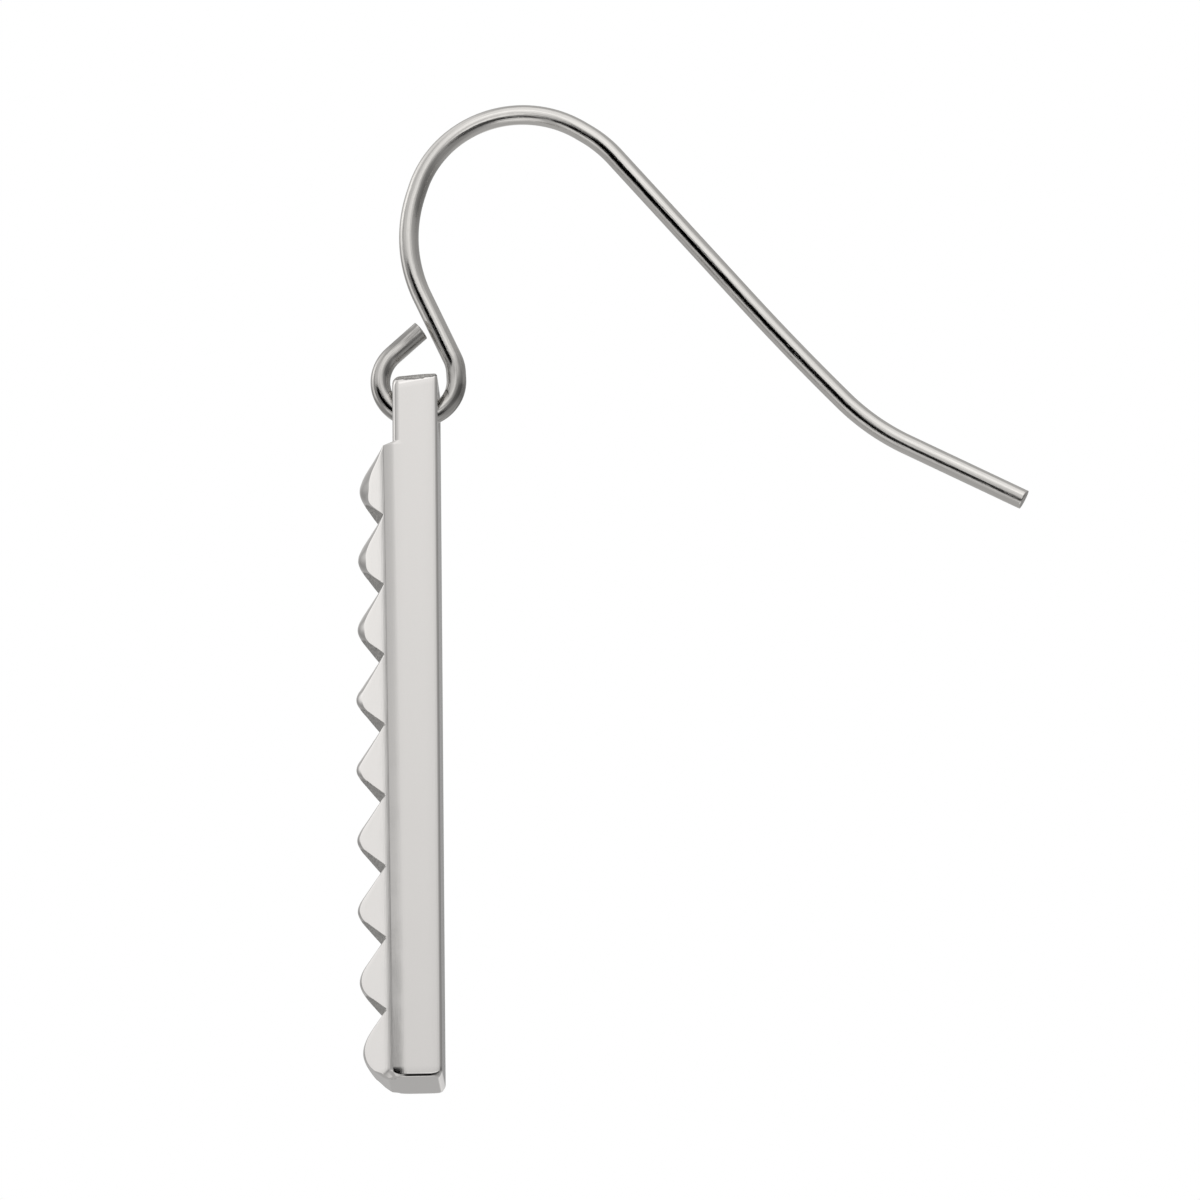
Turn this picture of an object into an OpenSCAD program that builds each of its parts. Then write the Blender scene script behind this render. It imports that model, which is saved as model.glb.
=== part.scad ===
// Bar drop earring on a French ear wire, hanging as worn.
// The origin is the inside top of the bow, where the ear lobe carries it. +Z is up, the studs face -Y
// and the tail of the wire points to +Y. Sizes are in millimetres.

/* [Ear wire] */
// Diameter of the round wire
wire_d = 0.78; // [0.6:0.02:0.9]
// How much thinner the wire is where bending has drawn it out
drawn = 0.01; // [0.006:0.002:0.02]
// Radius of the bow at its crown, to the middle of the wire
crown_r = 4.31; // [3.5:0.01:6]
// Radius of the bow in front, between the crown and the stem
front_r = 6.06; // [4.5:0.01:8]
// Radius of the bow's rear shoulder
shoulder_r = 5.02; // [4:0.01:8]
// Straight stem between the bow and the eye
stem_len = 2.82; // [1.5:0.01:5]
// Straight run from the shoulder down to the middle of the back limb
back_run = 8; // [5:0.1:12]
// Radius of the slight sweep below that run
sweep_r = 110; // [60:5:200]
// Radius of the kick that turns the tail outwards
kick_r = 9; // [5:0.5:12]
// Straight tail, which takes a push-on stopper
tail_len = 5.1; // [3:0.1:8]
// Straight bit of wire left between two bends
between = 0.3; // [0.2:0.05:0.6]

/* [Eye] */
// Radius of the round part of the eye, to the middle of the wire
eye_r = 1.5; // [1.4:0.05:1.8]
// Radius of the easy bend that leads from the stem into the eye
eye_lead_r = 1.58; // [1.4:0.02:3]
// Straight cut end of the eye, which stops short of the stem
eye_end = 1.5; // [0.8:0.1:1.6]

/* [Bar] */
// Width of the bar and of its tab
bar_w = 3; // [2.6:0.1:4]
// Depth from the flat back to the valleys between the studs
bar_t = 2.13; // [1.8:0.01:2.6]
// How far the foot of the bar leans back because its centre of mass hangs under the eye, in degrees
bar_lean = 0.8; // [0:0.1:2]
// Radius of the soft edges between the sides and the side facets
side_edge_r = 0.8; // [0.4:0.05:0.9]
// Radius of the small rounded edges at the back and round the foot
back_edge_r = 0.15; // [0.05:0.01:0.2]

/* [Tab] */
// Thickness of the tab
tab_t = 1.75; // [1.4:0.01:1.76]
// How far in front of the middle of the eye the middle of the tab hangs
tab_shift = 0.055; // [0:0.005:0.06]
// Length of the tab from its top to the first stud
tab_len = 2.98; // [2.9:0.01:4]
// Radius of the tab's two top corners
tab_corner_r = 0.5; // [0.2:0.05:0.8]
// How much lower the cut top of the tab is in front than at the back
tab_top_fall = 0.08; // [0:0.01:0.15]
// Fall of the ledge between the face of the tab and the first stud
ledge_fall = 0.16; // [0:0.02:0.3]
// Diameter of the hole that hangs on the eye
hole_d = 1.9; // [1.86:0.02:2]
// Distance from the top of the tab down to the middle of the hole
hole_drop = 1.38; // [1.35:0.01:1.6]
// Clearance between the hole and the wire where the tab hangs
hang_gap = 0.1; // [0.05:0.01:0.2]

/* [Studs] */
// Number of studs in the row
stud_count = 9; // [3:1:11]
// Distance from one valley to the next
stud_pitch = 2.828; // [2.6:0.002:3.2]
// Height of the middle studs above the valleys
stud_h = 1.17; // [0.9:0.01:1.22]
// How much lower polishing has left the studs at both ends of the row
stud_wear = 0.19; // [0:0.01:0.3]
// Slope of the upper facets, in degrees
upper_slope = 42.4; // [42:0.1:48]
// Slope of the lower facets, in degrees
lower_slope = 46.2; // [42:0.1:48]
// Slope of the side facets, in degrees
side_slope = 46; // [45:0.5:50]
// How far behind the valleys the side facets would meet the sides in sharp edges
side_drop = 0.12; // [0.05:0.01:0.2]
// Radius across the tops of the studs
top_r = 0.5; // [0.3:0.05:0.7]
// How much shorter the last stud is than the others
foot_trim = 0.11; // [0:0.01:0.4]

/* [Hidden] */
$fn = 64;
wire_r = wire_d / 2;
bar_back = tab_t / 2 - tab_shift;
tab_face = -tab_t / 2 - tab_shift;
valley_y = bar_back - bar_t;
side_x = bar_w / 2;
tab_top = hole_drop;
row_top = tab_top - tab_len;
foot = valley_z(stud_count) + foot_trim;
stud_middle = (stud_count - 1) / 2;
arc_steps = 5;
// The three outlines of the bar are extruded past it by this much, and bends run this far into a straight.
margin = 2;
lap = 0.04;

// The bow turns down by these angles in front of the crown and behind it.
bow_front = 73;
bow_back = 32.1;

// The limbs of the wire go on from both ends of the bow.
// Each row is a straight run, the radius of the bend that follows it and the turn of that bend.
// A positive turn goes on in the sense of the bow, and a negative one turns the other way.
RUN = 0;
BEND = 1;
TURN = 2;
front_limb = [
    [between, front_r, 42],
    [stem_len, eye_lead_r, -21.5],
    [between, eye_r, -230.5],
    [eye_end, 0, 0]
];
back_limb = [
    [between, shoulder_r, 17.4],
    [back_run, sweep_r, -2.8],
    [between, kick_r, -19.7],
    [tail_len, 0, 0]
];
EYE_ROW = 2;

// A place on a limb is [distance out from the crown, height, heading below the horizontal].
function bend_centre(p, r, turn) =
    [p[0] - sign(turn) * r * sin(p[2]), p[1] - sign(turn) * r * cos(p[2])];
function after_bend(p, r, turn) =
    let (c = bend_centre(p, r, turn), a = p[2] + turn)
    [c[0] + sign(turn) * r * sin(a), c[1] + sign(turn) * r * cos(a), a];
function after_run(p, run) = [p[0] + run * cos(p[2]), p[1] - run * sin(p[2]), p[2]];
function bend_start(rows, k) =
    after_run(k == 0
        ? after_bend([0, wire_r, 0], crown_r, bow_front)
        : after_bend(bend_start(rows, k - 1), rows[k - 1][BEND], rows[k - 1][TURN]), rows[k][RUN]);

// The eye is a bend of the front limb, whose distances run towards -Y.
eye_middle = bend_centre(bend_start(front_limb, EYE_ROW), eye_r, front_limb[EYE_ROW][TURN]);
// The tab hangs where the front rim of its hole comes down on the inside of the eye.
eye_inside_r = eye_r - wire_r;
seat_depth = sqrt(pow(eye_inside_r, 2) - pow(tab_face, 2));
pivot = [0, -eye_middle[0], eye_middle[1] - seat_depth + hang_gap - hole_d / 2];

function valley_z(i) = row_top - i * stud_pitch;
function stud_top(i) = stud_h - stud_wear * pow((i - stud_middle) / stud_middle, 2);

// Rounds corner q of an outline, between its neighbours p and n, with radius r.
function unit(v) = v / norm(v);
function shorter(a) = a > 180 ? a - 360 : a < -180 ? a + 360 : a;
function round_corner(p, q, n, r) =
    let (
        u = unit(p - q),
        v = unit(n - q),
        half = acos(u * v) / 2,
        c = q + unit(u + v) * r / sin(half),
        from = q + u * r / tan(half) - c,
        to = q + v * r / tan(half) - c,
        a = atan2(from[1], from[0]),
        turn = shorter(atan2(to[1], to[0]) - a)
    )
    [for (i = [0:arc_steps]) c + r * [cos(a + turn * i / arc_steps), sin(a + turn * i / arc_steps)]];

// An outline is a list of corners, each with the radius that rounds it.
function place(corner) = [corner[0], corner[1]];
function rounded(corners) =
    let (n = len(corners))
    [for (i = [0:n - 1])
        each corners[i][2] == 0
            ? [place(corners[i])]
            : round_corner(place(corners[(i + n - 1) % n]), place(corners[i]),
                place(corners[(i + 1) % n]), corners[i][2])];

// Straight wire along +Z from the origin.
module straight(length) {
    cylinder(d = wire_d, h = length);
}

// A bend that starts at the origin along +Z and turns towards +Y, and laps into the straights at its ends.
module bend(r, turn) {
    lap_angle = lap / r * 180 / PI;
    translate([0, r, 0])
        rotate([90, 0, -90])
            rotate([0, 0, -lap_angle])
                rotate_extrude(angle = turn + 2 * lap_angle)
                    translate([r, 0])
                        circle(d = wire_d - drawn);
}

// Goes to the end of a bend that starts at the origin, so that the wire runs along +Z again.
module past_bend(r, turn) {
    translate([0, r, 0])
        rotate([-turn, 0, 0])
            translate([0, -r, 0])
                children();
}

// One limb of the wire from row k on, starting at the origin along +Z.
module limb(rows, k = 0) {
    row = rows[k];
    straight(row[RUN]);
    if (row[BEND] > 0) {
        other_way = row[TURN] < 0 ? 1 : 0;
        translate([0, 0, row[RUN]])
            mirror([0, other_way, 0]) {
                bend(row[BEND], abs(row[TURN]));
                past_bend(row[BEND], abs(row[TURN]))
                    mirror([0, other_way, 0])
                        limb(rows, k + 1);
            }
    }
}

// The bent wire, drawn from the front end of the bow: front limb, bow and back limb.
module ear_hook() {
    bow = bow_front + bow_back;
    color([0.78, 0.77, 0.75])
        translate([0, 0, wire_r - crown_r])
            rotate([bow_front, 0, 0])
                translate([0, 0, crown_r])
                    rotate([-90, 0, 0])
                        union() {
                            bend(crown_r, bow);
                            past_bend(crown_r, bow)
                                limb(back_limb);
                            mirror([0, 0, 1])
                                limb(front_limb);
                        }
}

// Side outline of the bar as [y, z] about the middle of the hole: tab, ledge, row of studs and back.
function stud_corners(i) =
    let (h = stud_top(i))
    [[valley_y, valley_z(i), 0],
     [valley_y - h, valley_z(i) - h / tan(upper_slope), 0],
     [valley_y - h, valley_z(i + 1) + h / tan(lower_slope), 0]];
side_outline = rounded(concat(
    [[tab_face, tab_top - tab_top_fall, back_edge_r], [tab_face, row_top + ledge_fall, 0]],
    [for (i = [0:stud_count - 1]) each stud_corners(i)],
    [[valley_y, foot, back_edge_r], [bar_back, foot, back_edge_r], [bar_back, tab_top, 0]]
));

// End outline as [x, y]: flat back, rounded side edges, side facets and rounded top.
end_outline = rounded([
    [side_x, bar_back, back_edge_r],
    [side_x, valley_y + side_drop, side_edge_r],
    [0, valley_y + side_drop - side_x * tan(side_slope), top_r],
    [-side_x, valley_y + side_drop, side_edge_r],
    [-side_x, bar_back, back_edge_r]
]);

// Front outline as [x, z]: round top corners of the tab and small round corners at the foot.
front_outline = rounded([
    [side_x, tab_top, tab_corner_r],
    [side_x, foot, back_edge_r],
    [-side_x, foot, back_edge_r],
    [-side_x, tab_top, tab_corner_r]
]);

// The bar is what its side, end and front outlines have in common, less the hole in the tab.
module bar_body() {
    across = bar_w + 2 * margin;
    depth = 2 * (bar_t + stud_h + margin);
    difference() {
        intersection() {
            translate([-across / 2, 0, 0])
                rotate([90, 0, 90])
                    linear_extrude(across)
                        polygon(side_outline);
            translate([0, 0, foot - margin])
                linear_extrude(tab_top - foot + 2 * margin)
                    polygon(end_outline);
            translate([0, depth / 2, 0])
                rotate([90, 0, 0])
                    linear_extrude(depth)
                        polygon(front_outline);
        }
        rotate([90, 0, 0])
            cylinder(d = hole_d, h = tab_t + 2 * margin, center = true);
    }
}

// The cast bar in place on the eye, leaning about the middle of its hole.
module drop_bar() {
    color([0.80, 0.79, 0.77])
        translate(pivot)
            rotate([bar_lean, 0, 0])
                bar_body();
}

ear_hook();
drop_bar();
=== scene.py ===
"""Studded bar earring on a French ear wire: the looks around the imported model.

Lengths in the settings are Blender lengths in metres. The origin is the inside top of the bow, +Z is up,
the studs face -Y and the tail of the wire points to +Y.
"""

import math

import bpy
import numpy as np
from bpy.props import FloatProperty, FloatVectorProperty, IntProperty, PointerProperty
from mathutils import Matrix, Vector


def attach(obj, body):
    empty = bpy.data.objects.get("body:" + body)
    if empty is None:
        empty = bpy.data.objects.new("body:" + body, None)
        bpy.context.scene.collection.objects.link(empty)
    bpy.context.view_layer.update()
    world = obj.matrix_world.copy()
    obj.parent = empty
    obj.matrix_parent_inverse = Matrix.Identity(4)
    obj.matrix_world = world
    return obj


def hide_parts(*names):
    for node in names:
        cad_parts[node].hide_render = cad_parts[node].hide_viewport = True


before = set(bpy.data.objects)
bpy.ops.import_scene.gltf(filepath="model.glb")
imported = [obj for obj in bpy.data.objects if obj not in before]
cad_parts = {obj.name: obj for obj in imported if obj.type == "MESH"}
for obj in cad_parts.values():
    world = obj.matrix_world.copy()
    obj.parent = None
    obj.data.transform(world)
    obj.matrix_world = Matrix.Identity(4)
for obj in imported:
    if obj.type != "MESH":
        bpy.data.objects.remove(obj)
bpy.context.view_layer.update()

bl_info = {
    "name": "Studded Bar Earring",
    "version": (1, 0, 0),
    "blender": (4, 5, 0),
    "location": "3D View > Sidebar > Earring",
    "description": "Makes the ear wire, the studded bar, their finishes and the studio",
    "category": "Object",
}

MM = 0.001
LENGTH = {"precision": 5, "subtype": "DISTANCE", "unit": "LENGTH"}
ANGLE = {"min": 0, "subtype": "ANGLE", "unit": "ROTATION"}
COLOUR = {"min": 0, "max": 1, "subtype": "COLOR"}
ROUGHNESS = {"min": 0.02, "max": 0.5, "subtype": "FACTOR"}

# The limbs of the wire from the crown of the bow on, in millimetres and degrees. Each row is a straight run,
# the radius of the bend that follows it and the turn of that bend.
FRONT_LIMB = ((0, 4.31, 73), (0.3, 6.06, 42), (2.82, 1.58, -21.5), (0.3, 1.5, -230.5), (1.5, 0, 0))
BACK_LIMB = ((0, 4.31, 32.1), (0.3, 5.02, 17.4), (8, 110, -2.8), (0.3, 9, -19.7), (5.1, 0, 0))

# Middle of the hole in the tab, where the bar hangs and swings.
PIVOT = (0.0, -4.0484, -12.2537)

# Points along the wire and round it, the length at each end over which they turn into the slant of the cut,
# and the rings of a cut face as shares of its radius.
WIRE_STATIONS = 640
WIRE_AROUND = 48
CUT_REACH = 1.2
CUT_RINGS = (0.94, 0.8, 0.55, 0.28)


class WireSizes(bpy.types.PropertyGroup):
    """Sizes of the ear wire."""

    diameter: FloatProperty(
        name="Wire Diameter", description="Diameter of the round wire",
        default=0.78 * MM, min=0.5 * MM, max=1.2 * MM, **LENGTH)
    tail_slant: FloatProperty(
        name="Tail Slant", description="Slant of the cut at the tail's tip",
        default=math.radians(2), max=math.radians(45), **ANGLE)
    eye_slant: FloatProperty(
        name="Eye Slant", description="Slant of the cut at the end of the eye",
        default=math.radians(4), max=math.radians(45), **ANGLE)


class BarSizes(bpy.types.PropertyGroup):
    """Sizes of the bar and its tab."""

    width: FloatProperty(
        name="Bar Width", description="Width of the bar and its tab",
        default=3 * MM, min=2.6 * MM, max=4 * MM, **LENGTH)
    lean: FloatProperty(
        name="Lean", description="How far the foot leans back as the bar hangs",
        default=math.radians(0.8), max=math.radians(2), **ANGLE)
    hole_diameter: FloatProperty(
        name="Hole Diameter", description="Diameter of the hole that hangs on the eye",
        default=1.9 * MM, min=1.86 * MM, max=2 * MM, **LENGTH)
    hip_softness: FloatProperty(
        name="Hip Softness", description="Height over which polishing has blended the facets and the flanks",
        default=0.02 * MM, min=0.01 * MM, max=0.2 * MM, **LENGTH)
    studs: IntProperty(name="Studs", description="Number of studs in the row", default=9, min=3, max=11)


class FinishColours(bpy.types.PropertyGroup):
    """Colours and polish of the steel."""

    bar_colour: FloatVectorProperty(
        name="Bar Steel", description="Colour of the polished bar",
        default=(0.87, 0.855, 0.84), **COLOUR)
    wire_colour: FloatVectorProperty(
        name="Wire Steel", description="Colour of the drawn wire",
        default=(0.86, 0.845, 0.82), **COLOUR)
    matte_colour: FloatVectorProperty(
        name="Matte Valleys", description="Colour of the unpolished facets in the valleys",
        default=(0.64, 0.63, 0.61), **COLOUR)
    floor_colour: FloatVectorProperty(
        name="Floor", description="Colour of the plain floor",
        default=(0.92, 0.92, 0.915), **COLOUR)
    bar_roughness: FloatProperty(
        name="Bar Roughness", description="Roughness of the polished faces",
        default=0.07, **ROUGHNESS)
    wire_roughness: FloatProperty(
        name="Wire Roughness", description="Roughness of the drawn wire",
        default=0.07, **ROUGHNESS)


# Geometry helpers

def vectors(*parts):
    """A table of vectors whose components are these numbers or tables, stretched to one shape."""
    return np.stack(np.broadcast_arrays(*parts), axis=-1)


def grid_faces(ids):
    """Quads between neighbours of a table of vertex numbers, turned from the second way to the first."""
    a, b, c, d = ids[:-1, :-1], ids[:-1, 1:], ids[1:, 1:], ids[1:, :-1]
    return vectors(a, b, c, d).reshape(-1, 4)


def ring_closed(ids):
    """A table of vertex numbers with its first column again after the last."""
    return np.concatenate([ids, ids[:, :1]], axis=1)


def fan_faces(ring, pole):
    """Triangles from each pair of neighbours on a closed ring of vertex numbers to one pole."""
    return vectors(ring, np.roll(ring, -1), pole)


def add_object(name, data):
    """A new object of the scene."""
    item = bpy.data.objects.new(name, data)
    bpy.context.scene.collection.objects.link(item)
    return item


def build_mesh(name, points, quads, triangles=()):
    """A smooth mesh object in metres from points in millimetres, quads and triangles."""
    mesh = bpy.data.meshes.new(name)
    mesh.from_pydata((points * MM).tolist(), [], quads.tolist() + np.asarray(triangles).tolist())
    mesh.polygons.foreach_set("use_smooth", np.ones(len(mesh.polygons), dtype=bool))
    mesh.update()
    return add_object(name, mesh)


def store(piece, name, values):
    """Stores one number or one vector for each vertex of a piece."""
    values = np.asarray(values, dtype=np.float32)
    kind, field = ("FLOAT", "value") if values.ndim == 1 else ("FLOAT_VECTOR", "vector")
    piece.data.attributes.new(name, kind, "POINT").data.foreach_set(field, values.ravel())


# Ear wire

def limb_track(rows, distance):
    """Way out, height and heading below the horizontal at distances along a limb from the crown.

    A straight adds its length along the heading. A bend adds the chord of its arc, whose ends are the
    sines and cosines of the headings divided by the bend's curvature.
    """
    lengths, curvatures = [], []
    for run, radius, turn in rows:
        lengths += [run, radius * abs(math.radians(turn))]
        curvatures += [0.0, math.copysign(1 / radius, turn) if radius else 0.0]
    lengths, curvatures = np.array(lengths), np.array(curvatures)

    def advance(heading, curvature, length):
        bent = curvature != 0
        bend = np.where(bent, curvature, 1.0)
        turned = heading + curvature * length
        out = np.where(bent, (np.sin(turned) - np.sin(heading)) / bend, np.cos(heading) * length)
        up = np.where(bent, (np.cos(turned) - np.cos(heading)) / bend, -np.sin(heading) * length)
        return out, up

    def sum_before(steps):
        return np.concatenate([[0], np.cumsum(steps)[:-1]])

    ends = np.cumsum(lengths)
    headings = sum_before(lengths * curvatures)
    start_out, start_up = [sum_before(steps) for steps in advance(headings, curvatures, lengths)]
    k = np.clip(np.searchsorted(ends, distance), 0, len(ends) - 1)
    past = distance - (ends - lengths)[k]
    out, up = advance(headings[k], curvatures[k], past)
    return start_out[k] + out, start_up[k] + up, headings[k] + curvatures[k] * past


def limb_length(rows):
    """Length of a limb: its runs and the arcs of its bends."""
    return sum(run + radius * abs(math.radians(turn)) for run, radius, turn in rows)


def wire_surface(radius, tail_slant, eye_slant):
    """The drawn wire: a circle carried along the route, with both ends cut off on a slant.

    The first parameter runs along the wire from the eye's end to the tail's tip and the second round it.
    Near an end the stations are stretched so that the last ring lies in the slanted plane of the cut.
    Returns the points, and the same points on the wire as it was before it was bent.
    """
    front, back = limb_length(FRONT_LIMB), limb_length(BACK_LIMB)
    station = np.linspace(-front, back, WIRE_STATIONS)[:, None]
    angle = np.linspace(0, 2 * np.pi, WIRE_AROUND, endpoint=False)[None, :]
    side = radius * np.cos(angle)
    near_tail = np.clip((station - (back - CUT_REACH)) / CUT_REACH, 0, 1)
    near_eye = np.clip(((CUT_REACH - front) - station) / CUT_REACH, 0, 1)
    along = station + near_tail * math.tan(tail_slant) * side + near_eye * math.tan(eye_slant) * side
    out, up, heading = limb_track(BACK_LIMB, np.abs(along))
    out_f, up_f, heading_f = limb_track(FRONT_LIMB, np.abs(along))
    behind = along >= 0
    y = np.where(behind, out, -out_f)
    z = radius + np.where(behind, up, up_f)
    normal_y = np.where(behind, np.sin(heading), -np.sin(heading_f))
    normal_z = np.where(behind, np.cos(heading), np.cos(heading_f))
    x = radius * np.sin(angle)
    return vectors(x, y + side * normal_y, z + side * normal_z), vectors(along, side, x)


def with_cut_faces(rings):
    """The wire's rings between those of its two cut faces, which shrink to the middles, and the middles."""
    shrink = np.array(CUT_RINGS)[:, None, None]
    eye, tail = rings[0].mean(axis=0), rings[-1].mean(axis=0)
    rings = np.concatenate([eye + (rings[0] - eye) * shrink[::-1], rings, tail + (rings[-1] - tail) * shrink])
    return np.concatenate([rings.reshape(-1, 3), [eye, tail]])


def make_wire_piece(sizes):
    """The whole ear wire as one closed mesh, with its straightened coordinates as an attribute."""
    tables = wire_surface(sizes.diameter / MM / 2, sizes.tail_slant, sizes.eye_slant)
    points, straightened = [with_cut_faces(table) for table in tables]
    ids = np.arange(len(points) - 2).reshape(-1, WIRE_AROUND)
    eye_pole, tail_pole = ids.size, ids.size + 1
    triangles = np.concatenate([fan_faces(ids[0][::-1], eye_pole), fan_faces(ids[-1], tail_pole)])
    piece = build_mesh("ear_wire", points, grid_faces(ring_closed(ids)), triangles)
    store(piece, "straightened", straightened)
    cut = np.zeros(len(points))
    cut[ids[:len(CUT_RINGS)]] = 1
    cut[ids[-len(CUT_RINGS):]] = 1
    cut[[eye_pole, tail_pole]] = 1
    store(piece, "cut", cut)
    return piece


# Studded bar

# Bar coordinates are millimetres about the middle of the hole: x across, y backwards and z up. The heights of
# the studs are forwards of the valleys between them.
HALF_WIDTH = 1.5
TAB_FRONT = -0.95
TAB_BACK = 0.82
VALLEY_Y = -1.31
TAB_TOP = 1.38
ROW_TOP = -1.6
PITCH = 2.828
FOOT_TRIM = 0.11
# Heights of the stud tops, and how far the facets have rolled down at their borders beside each top.
STUD_TOPS = np.array([1.006, 1.075, 1.105, 1.168, 1.174, 1.153, 1.143, 1.077, 0.953])
ROLL_DROPS = np.array([0.42, 0.36, 0.31, 0.27, 0.20, 0.14, 0.10, 0.08, 0.08])
UPPER_SLOPE = math.tan(math.radians(42.4))
LOWER_SLOPE = math.tan(math.radians(46.2))
LAST_SLOPE = 1.18
FLANK_SLOPE = math.tan(math.radians(46))
VALLEY_FLOOR = 0.018
# How fast the roll shrinks from the top to the valleys on the upper and the lower facets, the distance over
# which it bends into its slant, and the steepest slant.
ROLL_POWER_UPPER = 0.8
ROLL_POWER_LOWER = 4
ROLL_BEND = 0.2
ROLL_SLANT = 0.6
# The flank would reach the level of the valleys at FLANK_FOOT, and this place moves in by FLANK_SHIFT from
# the top of the row to the foot of the bar, fast at first. The flank steepens a little from FLANK_BEND_X
# outwards and ends in a crisp corner, which moves outwards down the bar.
FLANK_FOOT = 1.384
FLANK_SHIFT = 0.16
FLANK_SHIFT_POWER = 0.75
FLANK_BEND_X = 1.16
FLANK_BEND = 0.6
CORNER_X = 1.37
CORNER_SHIFT = 0.07
# Behind the corner the side rounds off. It is flat from SIDE_FLAT_Y on at the top of the row, and only from
# SIDE_FLAT_SHIFT further back at the foot.
SIDE_POWER = 1.6
SIDE_FLAT_Y = -0.86
SIDE_FLAT_SHIFT = 0.34
BACK_EDGE_R = 0.12
BACK_LEAN = math.radians(5)
# The bevel round the foot, its slope, and how much taller it is at the front corners and at the back.
FOOT_BEVEL = 0.17
FOOT_BEVEL_SLOPE = math.tan(math.radians(29))
FOOT_CORNER_RISE = 1.2
FOOT_BACK_RISE = 0.84
TAB_EDGE_R = 0.28
# The body's loops start at JOIN_Z on the tab. The ledge over the first stud bends out of the tab's front
# from LEDGE_TOP to the top of the row, by these shares of the way.
JOIN_Z = -1.25
TAB_FOOT_ROWS = (JOIN_Z, -1.33, -1.39, -1.425)
LEDGE_TOP = -1.44
LEDGE_SHARES = (0, 0.04, 0.12, 0.3, 0.5, 0.7, 0.88, 0.96)
TAB_TOP_FALL = 0.08
TAB_CORNER_FRONT = 0.5
TAB_CORNER_BACK = 0.25
HOLE_RIM_R = 0.16
# Points of half a section from the middle of the front on: those of a facet and its hip, and those of the
# tab's flat face.
FACET_POINTS = 12
FLAT_POINTS = 17
# The smallest gap between the last row of the last stud and the bevel round the foot.
ROW_GAP = 0.02
# How far the matte patches reach from the valleys onto the upper and the lower facets, or -1 for no patch.
UPPER_REACH = np.array([-1, 0.74, 0.80, 0.80, 0.86, 0.86, 0.82, 0.80, 0.68])
LOWER_REACH = np.array([0.80, 0.86, 0.94, 0.98, 1.0, 1.0, 0.98, 0.84, -1])


def soft_min(a, b, width):
    """The smaller of two heights, with the crease between them rounded over the given width."""
    near = np.clip(width - np.abs(a - b), 0, None) / width
    return np.minimum(a, b) - near * near * width / 4


def per_stud(values, count):
    """A row of values for nine studs, spread over another number of studs."""
    return np.interp(np.linspace(0, 1, count), np.linspace(0, 1, len(values)), values)


def stud_slopes(count):
    """Length from valley to valley, slope of the lower facet, and distance of the crest from the upper
    valley for each stud. The last stud is cut short."""
    length = np.full(count, PITCH)
    slope = np.full(count, LOWER_SLOPE)
    length[-1] -= FOOT_TRIM
    slope[-1] = LAST_SLOPE
    return length, slope, slope * length / (UPPER_SLOPE + slope)


def stud_rows(count):
    """Distances below each stud's upper valley for the rows of points, and each row's stud.

    The rows are crowded at the valleys and where the crests are rounded.
    """
    share = np.array([0, 0.013, 0.022, 0.045, 0.09, 0.17, 0.27, 0.36, 0.44, 0.51, 0.57, 0.63, 0.68, 0.73,
                      0.78, 0.82, 0.86, 0.90, 0.935, 0.97])
    length, _, crest = stud_slopes(count)
    above = crest[:, None] * share
    below = length[:, None] - (length - crest)[:, None] * share[:0:-1]
    within = np.concatenate([above, crest[:, None], below], axis=1)
    number = np.repeat(np.arange(count), within.shape[1])
    within = within.ravel()
    keep = (number < count - 1) | (within < length[-1] - FOOT_BEVEL * (1 + FOOT_CORNER_RISE) - ROW_GAP)
    return within[keep], number[keep]


def facet_height(within, number, count):
    """Height of the facets at a distance below the upper valley.

    It is the smaller of the upper and the lower slope, and the crest is rounded down to the stud's top.
    """
    length, slope, _ = stud_slopes(count)
    length, slope, top = length[number], slope[number], per_stud(STUD_TOPS, count)[number]
    apex = UPPER_SLOPE * slope * length / (UPPER_SLOPE + slope)
    height = soft_min(UPPER_SLOPE * within, slope * (length - within), 4 * (apex - top))
    return np.maximum(height, VALLEY_FLOOR)


def roll_off(along, within, number, count, foot):
    """Where a facet starts to roll off to the side, and the slant that the roll comes to.

    At a distance u past its start the facet has fallen by slant * (sqrt(u^2 + bend^2) - bend). The roll is
    widest and deepest beside the top.
    """
    top = per_stud(STUD_TOPS, count)[number]
    deepest = per_stud(ROLL_DROPS, count)[number]
    share = np.clip(along / top, 0, 1)
    power = np.where(within < PITCH / 2, ROLL_POWER_UPPER, ROLL_POWER_LOWER)
    drop = np.minimum(deepest * share ** power, 0.5 * along)
    hip = foot - (along - drop) / FLANK_SLOPE
    width = (foot - (top - deepest) / FLANK_SLOPE) * share
    width = np.maximum(width, np.sqrt((ROLL_BEND + drop / ROLL_SLANT) ** 2 - ROLL_BEND ** 2))
    start = np.clip(hip - width, 0, None)
    return start, drop / (np.hypot(hip - start, ROLL_BEND) - ROLL_BEND)


def hip_place(along, start, slant, foot):
    """Where the rolled facet meets the flank.

    It is the root of slant * sqrt(u^2 + bend^2) = level + slope u, where the level is the facet's height
    over the flank at the start of the roll, plus slant * bend.
    """
    level = along + slant * ROLL_BEND - FLANK_SLOPE * (foot - start)
    gap = FLANK_SLOPE ** 2 - slant ** 2
    return start + (slant * np.sqrt(level ** 2 + ROLL_BEND ** 2 * gap) - level * FLANK_SLOPE) / gap


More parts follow.
